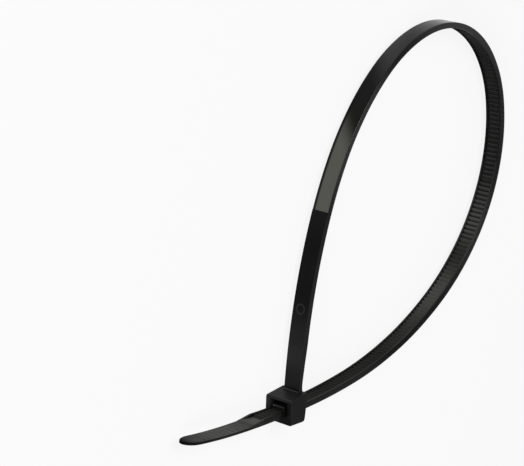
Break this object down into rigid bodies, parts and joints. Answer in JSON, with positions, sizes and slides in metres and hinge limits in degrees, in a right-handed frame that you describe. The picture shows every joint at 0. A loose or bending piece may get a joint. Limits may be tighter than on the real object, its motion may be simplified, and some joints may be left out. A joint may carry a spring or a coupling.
{
  "type": "cable tie",
  "caption": "One-piece black nylon cable tie, closed into a loose teardrop loop, with a ratchet head, a toothed inner face and a smooth rounded tip.",
  "frame": {"origin": "centre of the head's side face, on which the tie lies", "axes": "+X along the head's slot, from its exit towards the loop; +Y along the strap where it leaves the head; +Z across the strap, away from the face that the tie lies on"},
  "size_m": [0.105, 0.0969, 0.0082],
  "materials": {
    "nylon": "satin moulded nylon"
  },
  "bodies": {
    "root": {"cable_tie": "nylon"}
  },
  "joints": []
}
